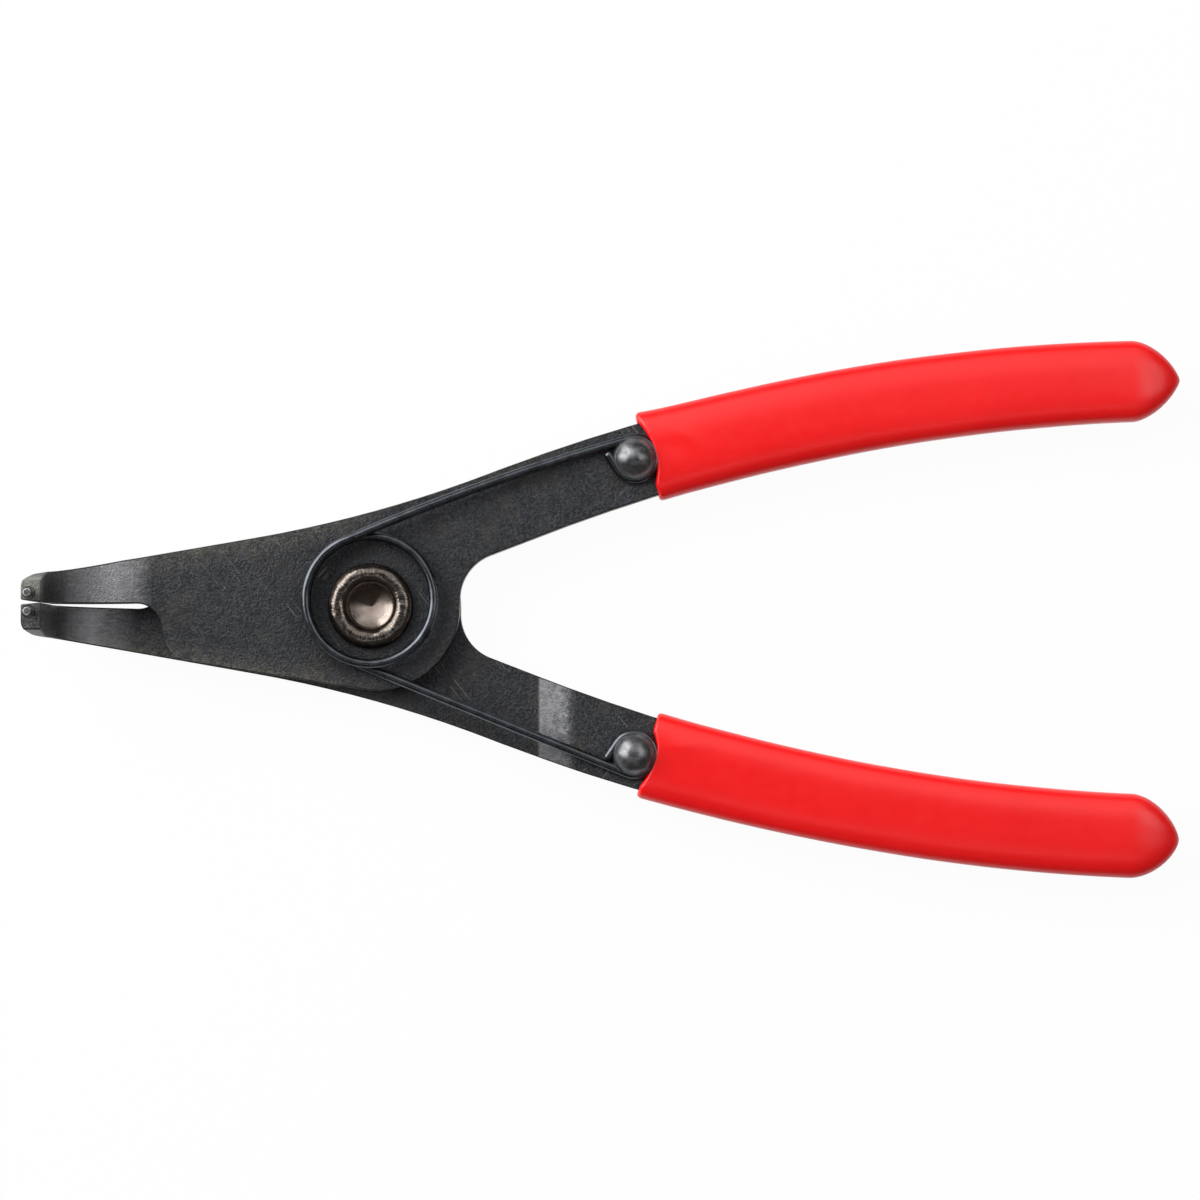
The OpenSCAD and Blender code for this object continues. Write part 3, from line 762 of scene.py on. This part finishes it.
RING_TURN = np.linspace(0, math.tau, GRIP_SIDES, endpoint=False)
ACROSS, UPWARD = squared(np.cos(RING_TURN)), squared(np.sin(RING_TURN))
OUTER, TOP_FACE = ACROSS > 0, UPWARD > 0.5
LIP_REACH = LIP_LEN * (1 + np.abs(ACROSS) ** LIP_CORNERS)


def arm_place(s, u):
    """Plan point at a place on the upper arm."""
    heading = NECK_ANGLE - s / ARM_R
    x = NECK_X + ARM_R * (math.sin(NECK_ANGLE) - np.sin(heading)) - u * np.sin(heading)
    y = NECK_Y + ARM_R * (np.cos(heading) - math.cos(NECK_ANGLE)) + u * np.cos(heading)
    return x, y


def arm_width(s):
    return NECK_W + (ARM_END_W - NECK_W) * np.minimum(s, ARM_LEN) / ARM_LEN


def arm_ring(s, u, v):
    """Points of a ring at places on the upper arm and heights v above its middle."""
    x, y = arm_place(s, u)
    return np.stack([x, y, Z_MID + v], axis=1)


def front_edge(middle, outer_depth, outer_w, inner_depth, inner_w):
    """Where the vinyl starts along the arm: a shallow scallop, with its own curve on each side."""
    u = ACROSS * (NECK_W / 2 + COAT)
    depth = np.where(u > middle, outer_depth, inner_depth)
    width = np.where(u > middle, outer_w, inner_w)
    return FRONT_MID - depth * np.minimum(np.abs(u - middle) / width, 1) ** 2


def dent(s, u, length, width, slant, height):
    """Function for the rise of a soft bump at a place, or of a dent where height is negative."""
    def rise(at_s, at_u):
        ds, du = at_s - s, at_u - u
        along = ds * math.cos(slant) + du * math.sin(slant)
        across = du * math.cos(slant) - ds * math.sin(slant)
        return height * np.exp(-(along / length) ** 2 - (across / width) ** 2)
    return rise


def skin_waves(s, u, v, seed):
    """Slow unevenness of the dipped skin."""
    along, across, upward = SKIN_WAVES
    places = zip(s * along, u * across, v * upward + seed)
    return np.array([noise.noise(Vector(place)) for place in places])


def pocket_rings(start):
    """Rings of the pocket that the handle fills, from its bottom back to the front edge."""
    across = np.clip(math.sqrt(2) * np.cos(RING_TURN), -1, 1)
    upward = np.clip(math.sqrt(2) * np.sin(RING_TURN), -1, 1)
    mouth, bottom = start + MOUTH, ARM_LEN + GRIP_FIT
    rings = []
    for f in np.linspace(1, 0, POCKET_RINGS):
        s = mouth + (bottom - mouth) * f
        u = (arm_width(s) / 2 + GRIP_FIT) * across
        rings.append(arm_ring(s, u, (PLATE_T / 2 + GRIP_FIT) * upward))
    return rings


def closed_tube(rings):
    """Points and faces of a thick-walled cup: rings go out along the skin and come back in the pocket."""
    rings = np.asarray(rings)
    count, sides, _ = rings.shape
    faces = []
    for i in range(count):
        for j in range(sides):
            k, n = (j + 1) % sides, (i + 1) % count
            faces.append((i * sides + j, i * sides + k, n * sides + k, n * sides + j))
    return rings.reshape(-1, 3), faces


class Grip:
    """The vinyl on one handle, worked out on the upper arm."""

    def __init__(self, start, coat, flare, swell, drip, lean, dents, seed):
        """Coat is the outer side's thickness, which flare adds to at the front and swell at the end.

        Drip is the power of the end's taper, and lean how far the end points outward.
        """
        self.start = start
        self.coat = coat
        self.flare = flare
        self.swell = swell
        self.drip = drip
        self.lean = lean
        self.dents = dents
        self.seed = seed

    def places(self):
        """Lengths along the arm of the skin's rings: over the lip, along the body and round the cap."""
        full = self.start + LIP_REACH
        lip_turn = np.linspace(0, math.pi / 2, LIP_RINGS)
        cap_turn = np.linspace(0, CAP_TURN, CAP_RINGS)[1:]
        lip = [self.start + LIP_REACH * (1 - math.cos(a)) for a in lip_turn]
        body = [full + (CAP_START - full) * f for f in np.linspace(0, 1, BODY_RINGS)[1:]]
        cap = [np.full(GRIP_SIDES, CAP_START + CAP_LEN * math.sin(a)) for a in cap_turn]
        return lip + body + cap

    def half_size(self, s):
        """Half of the skin's width and height, before the drip end closes it."""
        grown = np.sqrt(1 - np.maximum(0, 1 - (s - self.start) / LIP_REACH) ** 2)
        thick = LIP_WALL + (1 - LIP_WALL) * grown
        flared = self.flare * np.exp((self.start - s) / FLARE_LEN)
        pinched = -PINCH * np.exp(-((s - self.start) / PINCH_LEN) ** 2)
        wall = np.where(OUTER, self.coat, COAT) - GRIP_FIT + np.where(OUTER, flared, pinched)
        pooled = self.swell * np.clip((s - POOL_START) / (CAP_START - POOL_START), 0, 1) * OUTER
        wide = arm_width(s) / 2 + GRIP_FIT + wall * thick + pooled
        high = PLATE_T / 2 + GRIP_FIT + (COAT_FLAT - GRIP_FIT) * thick
        return wide, high

    def closing(self, s):
        """Share of the full width that is left: a taper with a round end."""
        along = np.maximum(0, s - CAP_START) / CAP_LEN
        return np.maximum(0, 1 - along ** CAP_TAPER) ** self.drip

    def ring(self, s):
        """Points of one ring of the skin."""
        wide, high = self.half_size(s)
        closing = self.closing(s)
        u = wide * closing * ACROSS + self.lean * (1 - closing)
        v = high * closing ** END_THICKNESS * UPWARD
        waves = skin_waves(s, u, v, self.seed)
        dented = np.where(TOP_FACE, sum(rise(s, u) for rise in self.dents), 0)
        return arm_ring(s, u * (1 + WAVE_WIDE * waves), v * (1 + WAVE_HIGH * waves) + dented * closing)

    def skin(self):
        """Points and faces of the whole grip."""
        return closed_tube([self.ring(s) for s in self.places()] + pocket_rings(self.start))


def upper_grip(material):
    """Vinyl of the upper handle, which flares at the front of its outer side."""
    start = front_edge(middle=1.0, outer_depth=1.2, outer_w=5.2, inner_depth=1.25, inner_w=5.4)
    bump = dent(s=27.6, u=2.3, length=2.2, width=0.7, slant=-0.9, height=0.12)
    hollow = dent(s=26.4, u=0.4, length=1.8, width=1.0, slant=-0.6, height=-0.10)
    vinyl = Grip(
        start, coat=COAT, flare=0.68, swell=0.0, drip=0.76, lean=0.0, dents=(bump, hollow), seed=7.0
    )
    obj = add_mesh("upper_grip_vinyl", *vinyl.skin(), material)
    return dressed(obj, "upper_grip", "upper_half")


def lower_grip(material):
    """Vinyl of the lower handle, which swells towards an end that leans outward."""
    start = front_edge(middle=0.1, outer_depth=0.95, outer_w=5.4, inner_depth=1.45, inner_w=4.2)
    bump = dent(s=26.5, u=-2.5, length=2.2, width=1.0, slant=-0.4, height=0.12)
    hollow = dent(s=26.0, u=1.4, length=2.6, width=1.4, slant=0.2, height=-0.12)
    thin_coat = COAT - 0.1
    vinyl = Grip(
        start, coat=thin_coat, flare=0.12, swell=0.63, drip=0.66, lean=0.75, dents=(bump, hollow), seed=-7.0
    )
    points, faces = vinyl.skin()
    mirrored = points * np.array([1, -1, 1])
    obj = add_mesh("lower_grip_vinyl", mirrored, [face[::-1] for face in faces], material)
    return dressed(obj, "lower_grip", "lower_half")


# Stage, light and camera

def stage_material():
    """White floor that keeps a soft shadow, and stays white in reflections."""
    paper_white, glow = 0.85, 0.96
    material = bpy.data.materials.new("stage_white")
    material.use_nodes = True
    tree = material.node_tree
    tree.nodes.clear()
    out = tree.nodes.new("ShaderNodeOutputMaterial")
    paper = tree.nodes.new("ShaderNodeBsdfDiffuse")
    paper.inputs["Color"].default_value = (paper_white, paper_white, paper_white, 1)
    white = tree.nodes.new("ShaderNodeEmission")
    path = tree.nodes.new("ShaderNodeLightPath")
    seen = path.outputs["Is Camera Ray"]
    for name in ("Is Glossy Ray", "Is Transmission Ray"):
        either = tree.nodes.new("ShaderNodeMath")
        either.operation = "MAXIMUM"
        tree.links.new(seen, either.inputs[0])
        tree.links.new(path.outputs[name], either.inputs[1])
        seen = either.outputs["Value"]
    share = tree.nodes.new("ShaderNodeMath")
    share.operation = "MULTIPLY"
    share.inputs[1].default_value = glow
    tree.links.new(seen, share.inputs[0])
    mix = tree.nodes.new("ShaderNodeMixShader")
    tree.links.new(share.outputs["Value"], mix.inputs["Fac"])
    tree.links.new(paper.outputs["BSDF"], mix.inputs[1])
    tree.links.new(white.outputs["Emission"], mix.inputs[2])
    tree.links.new(mix.outputs["Shader"], out.inputs["Surface"])
    return material


def floor():
    reach = 4000.0
    below = -0.2
    corners = [(x * reach, y * reach, below) for x, y in ((-1, -1), (1, -1), (1, 1), (-1, 1))]
    obj = add_mesh("floor", corners, [(0, 1, 2, 3)], stage_material())


def softbox(name, place, size, watts):
    """A rectangular lamp at a place in metres that faces the pliers."""
    aim = (0.035, 0.0, 0.008)
    lamp = bpy.data.lights.new(name, "AREA")
    lamp.shape = "RECTANGLE"
    lamp.size, lamp.size_y = size
    lamp.energy = watts
    obj = bpy.data.objects.new(name, lamp)
    obj.location = place
    obj.rotation_euler = (Vector(place) - Vector(aim)).to_track_quat("Z", "Y").to_euler()
    obj.visible_camera = False
    bpy.context.scene.collection.objects.link(obj)


def light():
    """A dim white room with a large key from the left and three weaker lamps."""
    room_light = 0.09
    world = bpy.data.worlds.new("studio")
    world.use_nodes = True
    background = world.node_tree.nodes["Background"]
    background.inputs["Color"].default_value = (1, 1, 1, 1)
    background.inputs["Strength"].default_value = room_light
    bpy.context.scene.world = world
    softbox("key_left", place=(-0.54, 0.30, 0.38), size=(0.80, 0.66), watts=9.0)
    softbox("top", place=(0.03, 0.40, 0.54), size=(0.90, 0.56), watts=1.7)
    softbox("fill_right", place=(0.42, 0.10, 0.54), size=(0.30, 0.30), watts=0.6)
    softbox("strip_front", place=(0.04, -0.26, 0.60), size=(0.70, 0.03), watts=0.2)


def camera():
    """Straight above the plates, a little towards the lower handle, as the photograph is taken."""
    view_width = 184.6
    view_middle = (35.3, 1.0)
    distance = 530.0
    offset = 18.0
    turned = math.radians(0.11)
    sensor = 36.0
    lens = bpy.data.cameras.new("camera")
    lens.sensor_width = sensor
    lens.lens = sensor * distance / view_width
    lens.clip_start = 0.01
    lens.shift_y = offset / view_width
    obj = bpy.data.objects.new("camera", lens)
    obj.location = Vector((view_middle[0], view_middle[1] - offset, Z_TOP + distance)) * MM
    obj.rotation_euler = (0, 0, turned)
    bpy.context.scene.collection.objects.link(obj)
    bpy.context.scene.camera = obj


def build():
    steel, edge = black_steel(), worn_edge()
    # The light pin steel is a painted highlight on the rims of the pins' chamfers.
    pin_dark, pin_highlight = pin_steel("pin_steel", shade=0.20), pin_steel("pin_rim_painted_highlight", shade=0.60)
    domes, vinyl = dome_steel(), red_vinyl()
    for name in ("upper_plate", "lower_plate"):
        round_edges(nodes[name], steel, edge)
    for name in ("upper_tip_pin", "lower_tip_pin"):
        tip_pin(nodes[name], pin_dark, pin_highlight)
    pivot_rivet(rivet_steel())
    spring(spring_wire())
    for side in (1, -1):
        dome_rivet(side, domes)
    upper_grip(vinyl)
    lower_grip(vinyl)
    floor()
    light()
    camera()
    bpy.context.scene.view_settings.view_transform = "Standard"


build()
